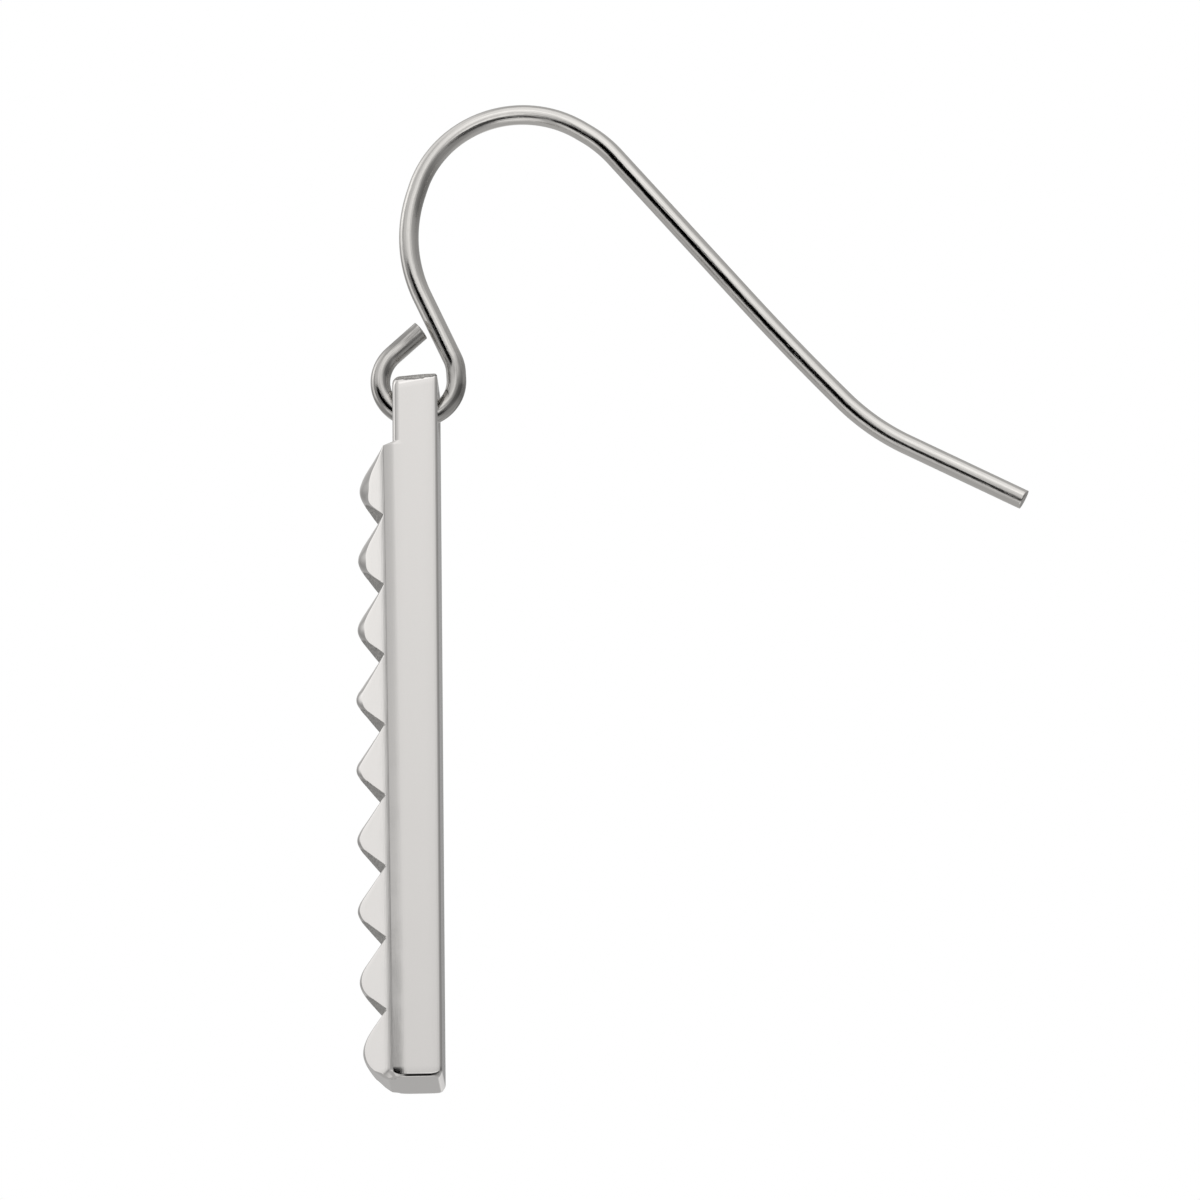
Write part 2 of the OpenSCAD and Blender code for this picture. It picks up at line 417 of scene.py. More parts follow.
def front_points(hip, corner):
    """Places across half the front for the points of a section: facet, hip, flank, and the crisp corner.

    The hip is kept a little inside the corner, and five points close together draw its crease.
    """
    facet = np.array([0, 0.17, 0.34, 0.5, 0.66, 0.8, 0.92])
    crease = np.array([-2, -1, 0, 1, 2])
    flank = np.array([0.2, 0.4, 0.6, 0.78, 0.92, 1.0])
    least_hip, corner_gap, crease_gap, last_gap = 0.12, 0.06, 0.02, 0.012
    closest, widest = 0.004, 0.016
    corner = corner[:, None]
    hip = np.clip(hip[:, None], least_hip, corner - corner_gap)
    space = np.clip((corner - crease_gap - hip) / 4, closest, widest)
    inner = facet * (hip - 2 * space)
    outer = hip + 2 * space
    outer = outer + flank * (corner - last_gap - outer)
    return np.concatenate([inner, hip + crease * space, outer, corner], axis=1)


def stud_sections(within, number, count, softness):
    """Half sections of the row of studs from the middle of the front to the back: x, y for each row.

    The height in front is the smaller of the flank across the bar and the rolled facet along it. Behind
    the corner the side comes out to its full width by a power of the distance from where it is flat. The
    flank's foot, the corner and the flat side shift with the way down the bar.
    """
    along = facet_height(within, number, count)
    down = (number * PITCH + within) / (count * PITCH)
    corner = CORNER_X + CORNER_SHIFT * down
    foot = FLANK_FOOT - FLANK_SHIFT * down ** FLANK_SHIFT_POWER
    start, slant = roll_off(along, within, number, count, foot)
    x = front_points(hip_place(along, start, slant, foot), corner)
    flank = (foot[:, None] - x) * FLANK_SLOPE - FLANK_BEND * np.clip(x - FLANK_BEND_X, 0, None) ** 2
    past = np.clip(x - start[:, None], 0, None)
    facet = along[:, None] - slant[:, None] * (np.hypot(past, ROLL_BEND) - ROLL_BEND)
    front = vectors(x, VALLEY_Y - soft_min(flank, facet, softness))
    share = np.array([0.965, 0.82, 0.62, 0.42, 0.2, 0])
    side_x = HALF_WIDTH - (HALF_WIDTH - corner[:, None]) * share ** SIDE_POWER
    flat_y = SIDE_FLAT_Y + SIDE_FLAT_SHIFT * down[:, None]
    side_y = flat_y + (front[:, -1:, 1] - flat_y) * share
    behind = side_points(len(along), SIDE_FLAT_Y + SIDE_FLAT_SHIFT)
    return np.concatenate([front, vectors(side_x, side_y), behind], axis=1)


def side_points(rows, start):
    """Points down one side, which leans in a little behind its middle, and round the small back edge."""
    end = TAB_BACK - BACK_EDGE_R * (1 - math.sin(BACK_LEAN))
    y = np.concatenate([start * np.array([0.95, 0.5, 0.05]), end * np.array([0.3, 0.6, 0.85, 1])])
    x = HALF_WIDTH - math.tan(BACK_LEAN) / (2 * end) * np.clip(y, 0, None) ** 2
    turn = np.linspace(BACK_LEAN, np.pi / 2, 6)[1:]
    edge_x = x[-1] - BACK_EDGE_R * math.cos(BACK_LEAN) + BACK_EDGE_R * np.cos(turn)
    edge_y = TAB_BACK - BACK_EDGE_R + BACK_EDGE_R * np.sin(turn)
    side = np.concatenate([vectors(x, y), vectors(edge_x, edge_y)])
    return np.broadcast_to(side, (rows,) + side.shape)


def tab_section():
    """Half section of the tab: flat face, rounded edge, side and small back edge."""
    flat_end = HALF_WIDTH - TAB_EDGE_R
    flat = np.concatenate([np.linspace(0, 1.0, 9), np.linspace(1.04, flat_end - 0.01, 7)])
    turn = np.linspace(0, np.pi / 2, 9)
    edge_x = flat_end + TAB_EDGE_R * np.sin(turn)
    edge_y = TAB_FRONT + TAB_EDGE_R - TAB_EDGE_R * np.cos(turn)
    side = side_points(1, TAB_FRONT + TAB_EDGE_R)[0]
    return np.concatenate([vectors(flat, TAB_FRONT), vectors(edge_x, edge_y), side])[None]


def close_section(half):
    """Whole loops from half sections: right half, back from right to left, left half mirrored."""
    share = half[:, FLAT_POINTS - 1:0:-1, 0] / half[:, FLAT_POINTS - 1:FLAT_POINTS, 0]
    share = np.concatenate([share, np.zeros((len(half), 1)), -share[:, ::-1]], axis=1)
    back = vectors(half[:, -1:, 0] * share[:, 1:-1], half[:, -1:, 1])
    left = half[:, :0:-1] * np.array([-1, 1])
    return np.concatenate([half, back, left], axis=1)


def tab_wall(section):
    """The edge of the tab carried round its front outline: up the right side, across the top and down.

    A point of the section keeps its depth and lies inside the outline by the same distance as in the
    section. The corners' radius and the height of the top change with the depth.
    """
    inset = HALF_WIDTH - section[:, 0]
    depth = section[:, 1]
    share = (depth - TAB_FRONT) / (TAB_BACK - TAB_FRONT)
    corner = TAB_CORNER_FRONT + (TAB_CORNER_BACK - TAB_CORNER_FRONT) * share
    top = TAB_TOP - TAB_TOP_FALL * (1 - share)
    up = np.linspace(0, 1, 12)[:-1, None]
    turn = np.pi / 2 * up
    over = np.linspace(0, 1, 14)[:, None]
    turn_x = HALF_WIDTH - corner + (corner - inset) * np.cos(turn)
    turn_z = top - corner + (corner - inset) * np.sin(turn)
    right = np.concatenate([
        vectors(HALF_WIDTH - inset, depth, JOIN_Z + (top - corner - JOIN_Z) * up),
        vectors(turn_x, depth, turn_z),
        vectors((HALF_WIDTH - corner) * (1 - over), depth, top - inset)])
    return np.concatenate([right, right[-2::-1] * [-1, 1, 1]])


def tab_rings(outer_front, outer_back, hole_r):
    """Rings from the tab's front outline in to the hole, through it and out to the back outline.

    Between outline and rim a ring's point lies on the straight line from the outline's point to the rim's
    point at the same angle. The rims are quarter rounds.
    """
    steps = np.array([0.12, 0.3, 0.5, 0.7, 0.86, 0.95])[:, None]
    turn = np.radians([0, 15, 30, 45, 60, 75, 90])[:, None]

    def face(outer, y, towards_middle):
        angle = np.arctan2(outer[:, 2], outer[:, 0])[None]
        rim = hole_r + HOLE_RIM_R
        flat_x = outer[None, :, 0] * (1 - steps) + rim * np.cos(angle) * steps
        flat_z = outer[None, :, 2] * (1 - steps) + rim * np.sin(angle) * steps
        radius = rim - HOLE_RIM_R * np.sin(turn)
        inward = HOLE_RIM_R * (1 - np.cos(turn)) * towards_middle
        rounded = vectors(radius * np.cos(angle), y + inward, radius * np.sin(angle))
        return np.concatenate([vectors(flat_x, y, flat_z), rounded])

    front = face(outer_front, TAB_FRONT, 1)
    back = face(outer_back, TAB_BACK, -1)
    between = np.array([0.25, 0.5, 0.75])[:, None, None]
    wall = front[-1][None] * (1 - between) + back[-1][None] * between
    return np.concatenate([front, wall, back[::-1]])


def foot_cap(front, right, back, left):
    """Inner points of the foot.

    Each is the sum of the two blends between opposite edges, less the blend of the four corners.
    """
    u = np.linspace(0, 1, front.shape[0])[:, None, None]
    v = np.linspace(0, 1, right.shape[0])[None, :, None]
    across = right[None] * (1 - u) + left[None] * u
    down = front[:, None] * (1 - v) + back[:, None] * v
    corners = (front[0] * (1 - u) * (1 - v) + front[-1] * u * (1 - v)
               + back[0] * (1 - u) * v + back[-1] * u * v)
    return (across + down - corners)[1:-1, 1:-1]


def foot_bevel():
    """Heights over the foot and insets of the bevel round it.

    The inset grows with a hyperbola into the bevel's slope, and a small quarter circle ends it below. The
    rows are crowded at the bottom.
    """
    crowding = 1.6
    bend_height, bend, radius = 0.75 * FOOT_BEVEL, 0.15 * FOOT_BEVEL, 0.2 * FOOT_BEVEL
    rise = FOOT_BEVEL * np.linspace(1, 0, 13) ** crowding
    under = bend_height - rise
    bevel = (under + np.hypot(under, bend)) / 2
    tip = radius - np.sqrt(radius ** 2 - np.clip(radius - rise, 0, None) ** 2)
    return rise, (bevel - bevel[0]) * FOOT_BEVEL_SLOPE + tip


def bevel_heights(section):
    """How many times taller the bevel is at each point of the section.

    It grows by a square towards the front corners and the back. Behind the corners it fades exponentially.
    """
    x, y = np.abs(section[:, 0]), section[:, 1]
    behind = y - y[np.argmax(x > CORNER_X)]
    fade, corner_start, corner_width, back_start, back_width = 0.16, 0.9, 0.45, TAB_BACK - 0.42, 0.4
    front = np.clip((x - corner_start) / corner_width, 0, 1) ** 2
    front = np.exp(-np.clip(behind, 0, None) / fade) * front
    back = np.clip((y - back_start) / back_width, 0, 1) ** 2
    return 1 + np.maximum(FOOT_CORNER_RISE * front, FOOT_BACK_RISE * back)


def drawn_in(loops, inset):
    """Loops drawn in evenly towards the middle of the section, by a distance for each point."""
    middle = np.array([0, (VALLEY_Y + TAB_BACK) / 2])
    half = np.array([HALF_WIDTH, (TAB_BACK - VALLEY_Y) / 2])
    return middle + (loops - middle) * (1 - inset[..., None] / half)


def bar_body(sizes):
    """Loops of the bar from the tab's foot over the ledge and the studs to the bevel round the foot.

    Returns them with the number of the first row of the studs, and with the distance below the upper valley
    and the stud of each of those rows.
    """
    count = sizes.studs
    softness = sizes.hip_softness / MM
    within, number = stud_rows(count)
    studs = stud_sections(within, number, count, softness)
    z = ROW_TOP - PITCH * number - within
    foot_z = ROW_TOP - PITCH * count + FOOT_TRIM
    rise, inset = foot_bevel()
    last_within = ROW_TOP - PITCH * (count - 1) - (foot_z + rise)
    last = stud_sections(last_within, np.full(len(rise), count - 1), count, softness)
    tab = tab_section()
    ledge_share = np.array(LEDGE_SHARES)
    ledge_z = LEDGE_TOP + (ROW_TOP - LEDGE_TOP) * ledge_share
    ledge = tab + (studs[:1] - tab) * ledge_share[:, None, None]
    loops = close_section(np.concatenate([np.repeat(tab, len(TAB_FOOT_ROWS), axis=0), ledge, studs, last]))

    taller = bevel_heights(loops[-1])
    above = np.concatenate([TAB_FOOT_ROWS, ledge_z, z])[:, None] + 0 * taller
    heights = np.concatenate([above, foot_z + rise[:, None] * taller])
    insets = np.concatenate([0 * above, inset[:, None] * taller])
    body = np.concatenate([drawn_in(loops, insets), heights[..., None]], axis=-1)
    return body, len(TAB_FOOT_ROWS) + len(ledge_z), within, number


class Skin:
    """The points and quads of one closed surface, gathered patch by patch."""

    def __init__(self):
        self.points = np.empty((0, 3))
        self.quads = []

    def add(self, table):
        """Adds a table of points and returns the table of their numbers."""
        first = len(self.points)
        self.points = np.concatenate([self.points, table.reshape(-1, 3)])
        return first + np.arange(table.shape[0] * table.shape[1]).reshape(table.shape[:2])

    def cover(self, ids, flip=False):
        """Covers a table of vertex numbers with quads, turned over where it faces inwards."""
        faces = grid_faces(ids)
        self.quads.append(faces[:, ::-1] if flip else faces)


def bar_points(sizes):
    """All points and faces of the bar in bar coordinates, with the values that its finish needs."""
    body, first, within, number = bar_body(sizes)
    skin = Skin()
    ids = skin.add(body)
    skin.cover(ring_closed(ids), flip=True)

    # The tab's edge runs from the end of its flat face to the start of its back.
    section = tab_section()[0]
    flat = FLAT_POINTS - 1
    around = ids.shape[1]
    last_side = len(section) - 1
    right = np.arange(flat, last_side + 1)
    left = (around - right) % around
    back_run = np.arange(last_side, last_side + 2 * flat + 1)

    wall = tab_wall(section[right])
    wall_ids = np.concatenate([ids[:1, right], skin.add(wall[1:-1]), ids[:1, left]])
    skin.cover(wall_ids)

    front_row = np.concatenate([np.arange(around - flat + 1, around), np.arange(0, flat)])
    front_ring = np.concatenate([wall_ids[:, 0], ids[0, front_row]])
    back_ring = np.concatenate([wall_ids[:, -1], ids[0, back_run[1:-1][::-1]]])
    rings = tab_rings(skin.points[front_ring], skin.points[back_ring], sizes.hole_diameter / MM / 2)
    ring_ids = np.concatenate([front_ring[None], skin.add(rings), back_ring[None]])
    skin.cover(ring_closed(ring_ids))

    foot = ids[-1]
    front_run = np.concatenate([np.arange(flat, -1, -1), np.arange(around - 1, around - flat - 1, -1)])
    edges = [foot[run] for run in (front_run, right, back_run, left)]
    cap = foot_cap(*(skin.points[edge] for edge in edges))
    cap_ids = np.empty((len(front_run), len(right)), dtype=int)
    cap_ids[0], cap_ids[-1] = edges[1], edges[3]
    cap_ids[:, 0], cap_ids[:, -1] = edges[0], edges[2]
    cap_ids[1:-1, 1:-1] = skin.add(cap)
    skin.cover(cap_ids, flip=True)

    # Far from a valley the gap is large, and off the studs' facets there is no reach.
    gaps, reaches = np.full(len(skin.points), 5.0), np.full(len(skin.points), -1.0)
    stud_ids = ids[first:first + len(within)]
    gaps[stud_ids], reaches[stud_ids] = valley_marks(within, number, sizes.studs, around)
    return skin.points, np.concatenate(skin.quads), gaps, reaches


def valley_marks(within, number, count, around):
    """Distance from the nearer valley, and reach of the matte patch there, for the points of the studs.

    Only the points on the facets have a reach.
    """
    length, _, crest = stud_slopes(count)
    upper = within < crest[number]
    gap = np.where(upper, within, length[number] - within)
    reach = np.where(upper, per_stud(UPPER_REACH, count)[number], per_stud(LOWER_REACH, count)[number])
    place = np.arange(around)
    on_facet = np.minimum(place, around - place) < FACET_POINTS
    return gap[:, None] + 0 * place, np.where(on_facet, reach[:, None], -1.0)


def make_bar_piece(sizes):
    """The cast bar as one closed mesh, leaned about the middle of its hole."""
    points, quads, gaps, reaches = bar_points(sizes)
    lean = sizes.lean
    points[:, 0] *= sizes.width / MM / (2 * HALF_WIDTH)
    y, z = points[:, 1], points[:, 2]
    placed = vectors(
        points[:, 0],
        PIVOT[1] + y * math.cos(lean) - z * math.sin(lean),
        PIVOT[2] + y * math.sin(lean) + z * math.cos(lean))
    piece = build_mesh("studded_bar", placed, quads)
    store(piece, "valley_gap", gaps)
    store(piece, "matte_reach", reaches)
    store(piece, "bar_place", points)
    return piece


# Materials and light

def add_node(tree, kind, settings=None, **inputs):
    """A shader node with its settings made and its inputs set to numbers or linked to sockets.

    An input is named by its number, as in in_0, or by its label with underscores.
    """
    node = tree.nodes.new("ShaderNode" + kind)
    for key, value in (settings or {}).items():
        setattr(node, key, value)
    for key, value in inputs.items():
        socket = node.inputs[int(key[3:])] if key.startswith("in_") else node.inputs[key.replace("_", " ")]
        if isinstance(value, bpy.types.NodeSocket):
            tree.links.new(value, socket)
        else:
            socket.default_value = value
    return node


def maths(tree, operation, *values, clamp=False):
    """Output of a Math node."""
    named = {f"in_{i}": value for i, value in enumerate(values)}
    return add_node(tree, "Math", {"operation": operation, "use_clamp": clamp}, **named).outputs[0]


def product(tree, first, *others):
    """Product of two or more values."""
    for other in others:
        first = maths(tree, "MULTIPLY", first, other)
    return first


def ramp(tree, value, low, high, out_low=0.0, out_high=1.0, smooth=True):
    """A value mapped from one range to another, smoothly by default and always within the range."""
    kind = "SMOOTHSTEP" if smooth else "LINEAR"
    return add_node(tree, "MapRange", {"interpolation_type": kind}, Value=value, From_Min=low, From_Max=high,
                    To_Min=out_low, To_Max=out_high).outputs[0]


def blend(tree, amount, first, second):
    """The first number where the amount is 0, the second where it is 1."""
    return add_node(tree, "Mix", {"data_type": "FLOAT"}, in_0=amount, in_2=first, in_3=second).outputs[0]


def scaled(tree, colour, amount):
    """A colour or vector times a number."""
    return add_node(tree, "VectorMath", {"operation": "SCALE"}, in_0=colour, Scale=amount).outputs[0]


def attribute(tree, name, output):
    """What the mesh stores under a name, as the vector or the number."""
    return add_node(tree, "Attribute", {"attribute_name": name}).outputs[output]


def new_material(name):
    """A node material with an empty tree, its shader and its output."""
    material = bpy.data.materials.new(name)
    material.use_nodes = True
    tree = material.node_tree
    tree.nodes.clear()
    shader = add_node(tree, "BsdfPrincipled")
    output = add_node(tree, "OutputMaterial")
    tree.links.new(shader.outputs[0], output.inputs["Surface"])
    return material, tree, shader


def noise(tree, vector, scale, detail=2.0, roughness=0.5):
    """Grey value of a noise texture, whose scale is one number or one for each direction."""
    if isinstance(scale, tuple):
        vector = add_node(tree, "Mapping", Vector=vector, Scale=scale).outputs[0]
        scale = 1.0
    return add_node(tree, "TexNoise", Vector=vector, Scale=scale, Detail=detail,
                    Roughness=roughness).outputs["Fac"]


def bare_metal(tree, shader, colour, rough, relief, depth):
    """Makes the shader a metal with a colour, a roughness and a relief, whose depth is in millimetres."""
    bump = add_node(tree, "Bump", Strength=0.5, Distance=depth * MM, Height=relief)
    shader.inputs["Metallic"].default_value = 1.0
    tree.links.new(colour, shader.inputs["Base Color"])
    tree.links.new(rough, shader.inputs["Roughness"])
    tree.links.new(bump.outputs[0], shader.inputs["Normal"])


# Tones and roughness of the matte steel, depth of its relief in millimetres, and the polish's share of it.
MATTE_TONES = (0.35, 1.5)
MATTE_ROUGHNESS = 0.48
BAR_RELIEF = 0.03
POLISH_RELIEF = 0.10
# Marks on the bar, in its own millimetres. A pair of numbers is the range over which a mark fades in or out.
# The matte patch reaches this far across a valley, and falls off by this power of the distance.
PATCH_HALF_WIDTH = 1.33
PATCH_POWER = 1.8
# How far the patch's edge is frayed, and the edge of the polished line on the valley's floor.
PATCH_FRAY = 0.10
FLOOR_LINE = (0.015, 0.03)
# How far the edges of the other marks wander, and how many times further those over the ledge do.
UNEVEN = 0.12
LEDGE_UNEVEN = 5.0
# Height of the filed top, edges and darkness of the line where the file stopped, and the parabola by which
# both rise before and behind one depth.
FILED_FROM = (1.06, 1.09)
STOP_LINE = ((1.02, 1.05), (1.07, 1.10))
STOP_DARKNESS = 0.7
FILED_CURVE = 0.14
FILED_LOWEST_Y = -0.3
# The marks over the ledge: their foot and top, the slope and the place of their inner edge, their outer edge,
# and the depth of the tab's flat face.
LEDGE_MARK_FOOT = (-1.43, -1.41)
LEDGE_MARK_TOP = (-1.15, -1.0)
LEDGE_MARK_SLOPE = 1.5
LEDGE_MARK_INNER = (2.72, 2.92)
LEDGE_MARK_OUTER = (1.1, 1.2)
TAB_FACE_Y = (-0.93, -0.9)


def valley_patches(tree, place, x):
    """Where the steel is matte beside the valleys: up to an arc over each valley, from end to end."""
    gap = attribute(tree, "valley_gap", "Fac")
    reach = attribute(tree, "matte_reach", "Fac")
    across = maths(tree, "ABSOLUTE", maths(tree, "DIVIDE", x, PATCH_HALF_WIDTH))
    across = maths(tree, "POWER", across, PATCH_POWER)
    arc = product(tree, reach, maths(tree, "SUBTRACT", 1.0, across, clamp=True))
    frayed = product(tree, maths(tree, "SUBTRACT", noise(tree, place, 9.0), 0.5), PATCH_FRAY)
    edge = maths(tree, "ADD", maths(tree, "SUBTRACT", arc, gap), frayed)
    patch = product(tree, ramp(tree, edge, -0.03, 0.05), ramp(tree, gap, *FLOOR_LINE))
    return product(tree, patch, ramp(tree, reach, 0.0, 0.2))


def filed_top(tree, y, z, uneven):
    """Where the tab's rounded top is filed, and the dark uneven line where the file stopped."""
    rise = maths(tree, "POWER", maths(tree, "SUBTRACT", y, FILED_LOWEST_Y), 2.0)
    height = maths(tree, "SUBTRACT", maths(tree, "ADD", z, uneven), product(tree, rise, FILED_CURVE))
    lower, upper = STOP_LINE
    line = product(tree, ramp(tree, height, *lower), ramp(tree, height, *upper, 1.0, 0.0))
    return ramp(tree, height, *FILED_FROM), line


def ledge_marks(tree, x, y, z, uneven):
    """Where rough marks were left over the ledge, in a triangle in both corners of the tab."""
    aside = maths(tree, "ABSOLUTE", x)
    outward = maths(tree, "ADD", aside, product(tree, uneven, LEDGE_UNEVEN))
    outward = maths(tree, "SUBTRACT", outward, product(tree, z, LEDGE_MARK_SLOPE))
    over_ledge = product(tree, ramp(tree, z, *LEDGE_MARK_FOOT), ramp(tree, z, *LEDGE_MARK_TOP, 1.0, 0.0))
    on_face = product(tree, ramp(tree, aside, *LEDGE_MARK_OUTER, 1.0, 0.0),
                      ramp(tree, y, *TAB_FACE_Y, 1.0, 0.0))
    return product(tree, ramp(tree, outward, *LEDGE_MARK_INNER), over_ledge, on_face)


def polished_steel(colours):
    """Cast steel, polished on the outside and left matte and marked in the valleys between the studs."""
    material, tree, shader = new_material("polished_cast_steel")
    place = attribute(tree, "bar_place", "Vector")
    x, y, z = add_node(tree, "SeparateXYZ", in_0=place).outputs
    uneven = product(tree, maths(tree, "SUBTRACT", noise(tree, place, 5.0, 3.0), 0.5), UNEVEN)
    filed, stop_line = filed_top(tree, y, z, uneven)
    matte = maths(tree, "MAXIMUM", filed, ledge_marks(tree, x, y, z, uneven))
    matte = maths(tree, "MAXIMUM", valley_patches(tree, place, x), matte)

    smudge = noise(tree, place, 0.9, 3.0, 0.6)
    fine = noise(tree, place, (40.0, 40.0, 1.2))
    marks = noise(tree, place, (3.0, 26.0, 26.0), 3.0, 0.7)
    speck = noise(tree, place, 34.0, 3.0, 0.75)
    grain = maths(tree, "ADD", product(tree, marks, 0.45), product(tree, speck, 0.55))

    matte_tone = ramp(tree, grain, 0.38, 0.64, *MATTE_TONES, smooth=False)
    matte_colour = scaled(tree, tuple(colours.matte_colour), matte_tone)
    colour = add_node(tree, "Mix", {"data_type": "RGBA"}, in_0=matte, in_6=(*colours.bar_colour, 1.0),
                      in_7=matte_colour).outputs[2]
    colour = scaled(tree, colour, maths(tree, "SUBTRACT", 1.0, product(tree, stop_line, STOP_DARKNESS)))
    polish = ramp(tree, smudge, 0.35, 0.7, colours.bar_roughness * 0.8, colours.bar_roughness * 1.5)
    rough = blend(tree, matte, polish, MATTE_ROUGHNESS)
    relief = blend(tree, matte, product(tree, fine, POLISH_RELIEF), grain)
    bare_metal(tree, shader, colour, rough, relief, BAR_RELIEF)
    return material


# Where the painted dark reflections on the eye fade out, in millimetres along the wire, whose front limb
# counts down from the crown, and how much of the colour they take away.
EYE_REFLECTION_FADE = (-14.0, -12.6)
EYE_PAINTED_REFLECTION = (0.52, 0.04)
# Tones of the lines along the wire, depth of its relief in millimetres, and roughness of its cut ends.
LINE_TONES = (0.84, 1.05)
WIRE_RELIEF = 0.014
CUT_ROUGHNESS = 0.4


def drawn_steel(colours):
    """Round wire with fine lines from the drawing die along it, and a torn finish on its cut ends.

    Over the eye its colour is darkened in streaks along the wire, which are painted dark reflections.
    """
    material, tree, shader = new_material("drawn_steel_wire")
    unbent = attribute(tree, "straightened", "Vector")
    cut = attribute(tree, "cut", "Fac")
    along = add_node(tree, "SeparateXYZ", in_0=unbent).outputs[0]
    lines = noise(tree, unbent, (0.25, 16.0, 16.0), 3.0, 0.65)
    pits = noise(tree, unbent, (3.0, 12.0, 12.0), 3.0, 0.7)
    streaks = noise(tree, unbent, (0.45, 6.0, 6.0), 3.0, 0.6)
    # painted dark reflections: the eye's colour is darkened in streaks along the wire
    painted_reflection = product(tree, ramp(tree, along, *EYE_REFLECTION_FADE, 1.0, 0.0), ramp(tree, streaks, 0.36, 0.62, *EYE_PAINTED_REFLECTION))
    tone = product(tree, ramp(tree, lines, 0.3, 0.7, *LINE_TONES, smooth=False),
                   maths(tree, "SUBTRACT", 1.0, painted_reflection))
    colour = scaled(tree, tuple(colours.wire_colour), tone)
    rough = ramp(tree, pits, 0.35, 0.75, colours.wire_roughness * 0.75, colours.wire_roughness * 1.7)
    relief = maths(tree, "ADD", lines, product(tree, pits, 0.5))
    bare_metal(tree, shader, colour, blend(tree, cut, rough, CUT_ROUGHNESS), relief, WIRE_RELIEF)
    return material


def floor_finish(colours):
    """Plain pale floor."""
    material, tree, shader = new_material("plain_floor")
    coords = add_node(tree, "TexCoord").outputs["Object"]
    tone = ramp(tree, noise(tree, coords, 1.2, 2.0), 0.3, 0.7, 0.985, 1.0)
    tree.links.new(scaled(tree, tuple(colours.floor_colour), tone), shader.inputs["Base Color"])
    shader.inputs["Roughness"].default_value = 0.7
    return material


def sky_direction(azimuth, elevation):
    """Unit vector to an azimuth from +X towards +Y and an elevation, in degrees."""
    a, e = math.radians(azimuth), math.radians(elevation)
    return (math.cos(a) * math.cos(e), math.sin(a) * math.cos(e), math.sin(e))


# How bright the studio's walls are at each azimuth, in degrees from +X towards +Y.
STUDIO_WALLS = (
    (-180, 0.34), (-165, 0.56), (-150, 0.48), (-124, 0.33), (-113, 0.52), (-104, 0.95), (-87, 0.87),
    (-82, 0.55), (-77, 0.26), (-72, 0.30), (-64, 0.46), (-52, 0.49), (-38, 0.54), (-27, 0.58), (-14, 0.70),
    (-6, 0.75), (2, 0.76), (15, 0.62), (35, 0.36), (80, 0.25), (110, 0.24), (150, 0.30), (180, 0.34),
)
# Heights here are sines of elevations. The walls grow brighter from the first to the second height, and the
# other two numbers are the factors below and above.
WALL_RISE = (0.16, 0.36, 0.85, 1.17)
# Brightness overhead and below, and the heights or depths between which the walls turn into them.
CEILING = 0.44
CEILING_FROM = (0.45, 0.85)
GROUND = 0.42
GROUND_FROM = (0.0, 0.4)
# Azimuth, elevation, inner and outer radius in degrees, and how much light a lamp adds.
STUDIO_LAMPS = (
    (8, -10, 6, 17, 0.34),
    (6, 56, 16, 36, 0.44),
    (-56, -36, 8, 22, 0.22),
    (0, -72, 8, 24, 0.38),
    (-95, 50, 14, 32, 0.30),
    (180, -17, 8, 24, 0.05),
    (172, -1, 6, 15, 0.42),
)
# The same for the dark screens round the camera, with the share of the light that each takes away.
STUDIO_SCREENS = (
    (-38, -2, 12, 26, 1.0),
    (-24, 6, 8, 15, 1.0),
    (-42, -12, 8, 18, 0.90),
    (-30, -22, 10, 21, 0.98),
    (0, -42, 8, 17, 0.97),
    (27, -33, 9, 24, 0.85),
    (70, -16, 20, 56, 0.38),
)
# The screens end between these heights, under the light that the bar shows.
SCREEN_TOP = (0.19, 0.24)
LIGHT_TINT = (1.0, 0.99, 0.98)


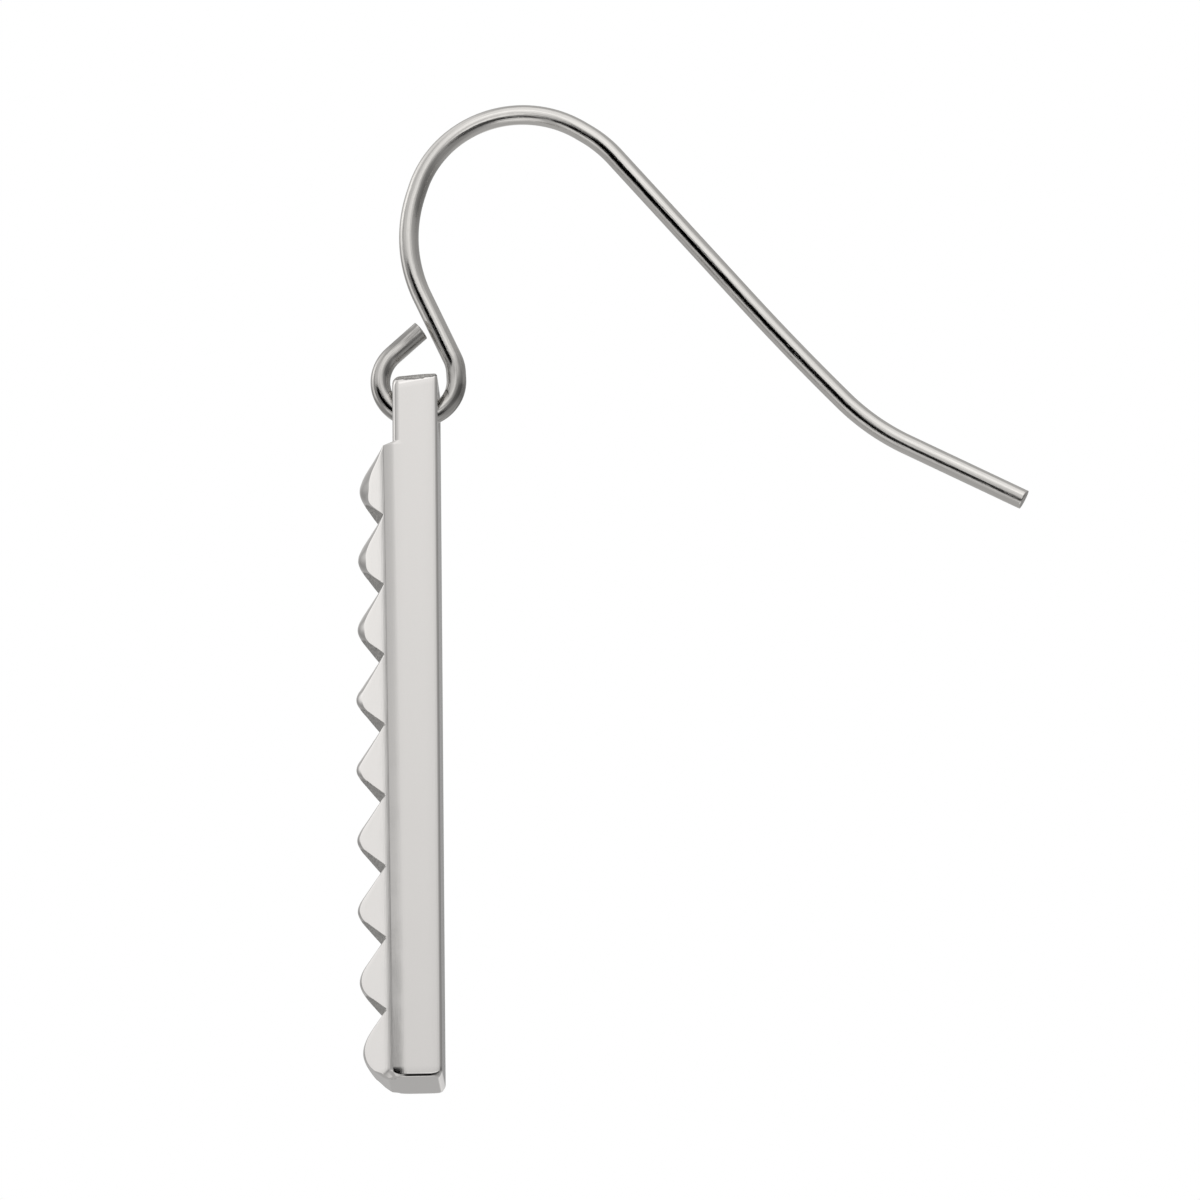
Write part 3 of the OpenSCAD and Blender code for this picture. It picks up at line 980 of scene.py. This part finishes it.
def studio_light():
    """The studio as a smooth sky: walls, a grey ceiling and ground, broad soft lamps and dark screens.

    The camera itself sees white behind the piece.
    """
    world = bpy.data.worlds.new("studio")
    world.use_nodes = True
    bpy.context.scene.world = world
    tree = world.node_tree
    tree.nodes.clear()
    coords = add_node(tree, "TexCoord").outputs["Generated"]
    direction = add_node(tree, "VectorMath", {"operation": "NORMALIZE"}, in_0=coords).outputs[0]
    axes = add_node(tree, "SeparateXYZ", in_0=direction).outputs

    turn = maths(tree, "ARCTAN2", axes[1], axes[0])
    share = maths(tree, "ADD", maths(tree, "DIVIDE", turn, 2 * math.pi), 0.5)
    walls = add_node(tree, "ValToRGB", in_0=share)
    stops = walls.color_ramp.elements
    for azimuth, level in STUDIO_WALLS[1:-1]:
        stops.new(azimuth / 360 + 0.5)
    for stop, (azimuth, level) in zip(stops, STUDIO_WALLS):
        stop.position = azimuth / 360 + 0.5
        stop.color = (level, level, level, 1.0)

    def lobe(azimuth, elevation, inner, outer):
        facing = add_node(tree, "VectorMath", {"operation": "DOT_PRODUCT"}, in_0=direction,
                          in_1=sky_direction(azimuth, elevation)).outputs["Value"]
        return ramp(tree, facing, math.cos(math.radians(outer)), math.cos(math.radians(inner)))

    level = product(tree, walls.outputs[0], ramp(tree, axes[2], *WALL_RISE, smooth=False))
    level = blend(tree, ramp(tree, axes[2], *CEILING_FROM), level, CEILING)
    level = blend(tree, ramp(tree, product(tree, axes[2], -1.0), *GROUND_FROM), level, GROUND)
    for azimuth, elevation, inner, outer, gain in STUDIO_LAMPS:
        level = maths(tree, "ADD", level, product(tree, lobe(azimuth, elevation, inner, outer), gain))
    under = ramp(tree, axes[2], *SCREEN_TOP, 1.0, 0.0)
    for azimuth, elevation, inner, outer, depth in STUDIO_SCREENS:
        taken = product(tree, lobe(azimuth, elevation, inner, outer), depth, under)
        level = product(tree, level, maths(tree, "SUBTRACT", 1.0, taken))
    seen = add_node(tree, "Background", Color=(1.0, 1.0, 1.0, 1.0), Strength=1.0)
    lit = add_node(tree, "Background", Color=scaled(tree, LIGHT_TINT, level), Strength=1.0)
    camera_ray = add_node(tree, "LightPath").outputs["Is Camera Ray"]
    mixed = add_node(tree, "MixShader", in_0=camera_ray, in_1=lit.outputs[0], in_2=seen.outputs[0])
    add_node(tree, "OutputWorld", Surface=mixed.outputs[0])


LAMP_HEIGHT = 0.25
LAMP_SIZE = 0.3
LAMP_POWER = 0.35


def add_lamp():
    """One large soft lamp above the piece, which lights the floor and doesn't show in the steel."""
    data = bpy.data.lights.new("soft_lamp", "AREA")
    data.shape = "DISK"
    data.size = LAMP_SIZE
    data.energy = LAMP_POWER
    lamp = add_object("soft_lamp", data)
    lamp.location = (0, 0, LAMP_HEIGHT)
    lamp.visible_glossy = False


# The camera aims at the middle of the photograph, and the frame's width is measured there.
CAMERA_AIM = (0.0, 3.109 * MM, -19.85 * MM)
CAMERA_AZIMUTH = 91.5
CAMERA_ELEVATION = -17.0
CAMERA_DISTANCE = 273 * MM
FRAME_WIDTH = 46.8 * MM
SENSOR = 36.0
FLOOR_Z = -0.15
FLOOR_RINGS = (0.2, 0.6, 1.4, 3.0)


def add_camera():
    """The camera at the photograph's angle: azimuth 0 stands at -Y and azimuth 90 at +X."""
    away = Vector(sky_direction(CAMERA_AZIMUTH - 90, CAMERA_ELEVATION))
    data = bpy.data.cameras.new("camera")
    data.sensor_width = SENSOR
    data.lens = SENSOR * CAMERA_DISTANCE / FRAME_WIDTH
    data.clip_start = 0.01
    camera = add_object("camera", data)
    camera.location = Vector(CAMERA_AIM) + away * CAMERA_DISTANCE
    camera.rotation_euler = (-away).to_track_quat("-Z", "Y").to_euler()
    bpy.context.scene.camera = camera


def add_floor(colours):
    """A wide round floor below the earring, as rings of points about its middle."""
    rings = np.array(FLOOR_RINGS)[:, None]
    around = 48
    angle = np.linspace(0, 2 * np.pi, around, endpoint=False)
    points = vectors(rings * np.cos(angle), rings * np.sin(angle), FLOOR_Z)
    ids = np.arange(len(rings) * around).reshape(-1, around)
    everything = np.concatenate([points.reshape(-1, 3), [[0, 0, FLOOR_Z]]])
    quads = grid_faces(ring_closed(ids))[:, ::-1]
    floor = build_mesh("floor", everything / MM, quads, fan_faces(ids[0], ids.size))
    floor.data.materials.append(floor_finish(colours))
    floor.visible_glossy = False


class EARRING_OT_ear_wire(bpy.types.Operator):
    """Make the ear wire."""

    bl_idname = "earring.ear_wire"
    bl_label = "Ear Wire"

    def execute(self, context):
        scene = context.scene
        piece = make_wire_piece(scene.earring_wire)
        piece.data.materials.append(drawn_steel(scene.earring_finish))
        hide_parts("ear_hook")
        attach(piece, "hook")
        return {"FINISHED"}


class EARRING_OT_studded_bar(bpy.types.Operator):
    """Make the studded bar."""

    bl_idname = "earring.studded_bar"
    bl_label = "Studded Bar"

    def execute(self, context):
        scene = context.scene
        piece = make_bar_piece(scene.earring_bar)
        piece.data.materials.append(polished_steel(scene.earring_finish))
        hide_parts("drop_bar")
        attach(piece, "drop")
        return {"FINISHED"}


class EARRING_OT_studio(bpy.types.Operator):
    """Make the floor, the light and the camera."""

    bl_idname = "earring.studio"
    bl_label = "Studio"

    def execute(self, context):
        context.scene.view_settings.view_transform = "Standard"
        add_floor(context.scene.earring_finish)
        studio_light()
        add_lamp()
        add_camera()
        return {"FINISHED"}


class EARRING_PT_panel(bpy.types.Panel):
    """Lists the steps and their settings."""

    bl_idname = "EARRING_PT_panel"
    bl_label = "Studded Bar Earring"
    bl_space_type = "VIEW_3D"
    bl_region_type = "UI"
    bl_category = "Earring"

    def draw(self, context):
        scene = context.scene
        for operator, settings in (
                (EARRING_OT_ear_wire, scene.earring_wire),
                (EARRING_OT_studded_bar, scene.earring_bar),
                (EARRING_OT_studio, scene.earring_finish)):
            box = self.layout.box()
            for name in settings.__annotations__:
                box.prop(settings, name)
            box.operator(operator.bl_idname)


CLASSES = (
    WireSizes,
    BarSizes,
    FinishColours,
    EARRING_OT_ear_wire,
    EARRING_OT_studded_bar,
    EARRING_OT_studio,
    EARRING_PT_panel,
)


def register():
    """Adds the classes and their settings."""
    for cls in CLASSES:
        bpy.utils.register_class(cls)
    bpy.types.Scene.earring_wire = PointerProperty(type=WireSizes)
    bpy.types.Scene.earring_bar = PointerProperty(type=BarSizes)
    bpy.types.Scene.earring_finish = PointerProperty(type=FinishColours)


def unregister():
    """Takes them away again."""
    del bpy.types.Scene.earring_finish
    del bpy.types.Scene.earring_bar
    del bpy.types.Scene.earring_wire
    for cls in reversed(CLASSES):
        bpy.utils.unregister_class(cls)


def main():
    """Makes the pieces and the studio."""
    register()
    bpy.ops.earring.ear_wire()
    bpy.ops.earring.studded_bar()
    bpy.ops.earring.studio()


if __name__ == "__main__":
    main()
